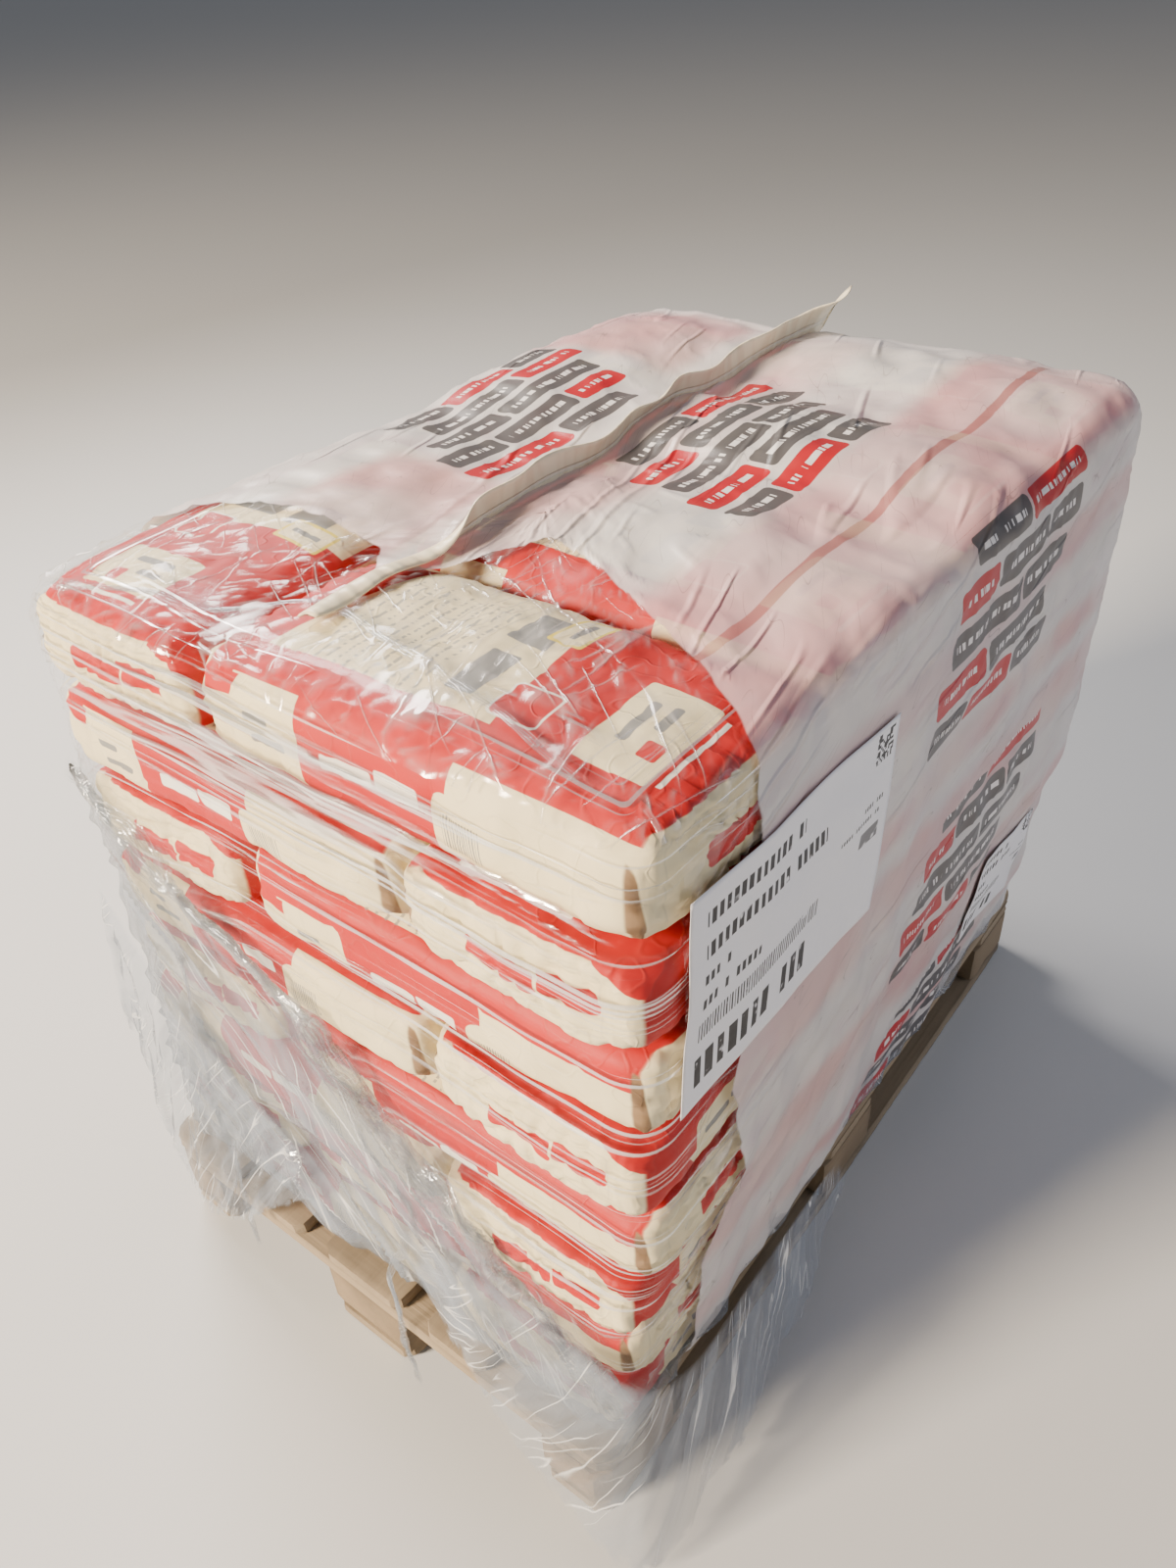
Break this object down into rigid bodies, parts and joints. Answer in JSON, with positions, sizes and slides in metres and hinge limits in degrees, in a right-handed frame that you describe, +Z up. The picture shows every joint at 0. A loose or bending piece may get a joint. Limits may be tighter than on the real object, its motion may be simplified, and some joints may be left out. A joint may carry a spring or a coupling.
{
  "type": "pallet of sacks",
  "caption": "Wooden block pallet loaded with stacked paper sacks of powder, held by clear stretch wrap under a milky film hood with a fin seam.",
  "frame": {"origin": "on the floor under the middle of the pallet's middle bottom board", "axes": "+X along the pallet's length, +Y across it away from the labelled long side, +Z up"},
  "size_m": [1.2041, 0.8697, 1.0888],
  "materials": {
    "deck_wood": "rough sawn softwood, greyed",
    "block_wood": "rough sawn or pressed wood blocks",
    "sack_paper": "smooth cream kraft paper printed in coral red and grey, creased",
    "wrap_film": "clear glossy stretch film with tension streaks and folds",
    "hood_film": null,
    "label_paper": null
  },
  "bodies": {
    "root": {"deck_board_1": "deck_wood", "deck_board_2": "deck_wood", "deck_board_3": "deck_wood", "deck_board_4": "deck_wood", "deck_board_5": "deck_wood", "stringer_board_1": "deck_wood", "stringer_board_2": "deck_wood", "stringer_board_3": "deck_wood", "block_1": "block_wood", "block_2": "block_wood", "block_3": "block_wood", "block_4": "block_wood", "block_5": "block_wood", "block_6": "block_wood", "block_7": "block_wood", "block_8": "block_wood", "block_9": "block_wood", "bottom_board_1": "deck_wood", "bottom_board_2": "deck_wood", "bottom_board_3": "deck_wood", "sack_layer_1": "sack_paper", "sack_layer_2": "sack_paper", "sack_layer_3": "sack_paper", "sack_layer_4": "sack_paper", "sack_layer_5": "sack_paper", "sack_layer_6": "sack_paper", "sack_layer_7": "sack_paper", "sack_layer_8": "sack_paper", "stretch_wrap": "wrap_film", "stretch_hood": "hood_film", "pallet_label": "label_paper", "pallet_label_2": "label_paper"}
  },
  "joints": []
}
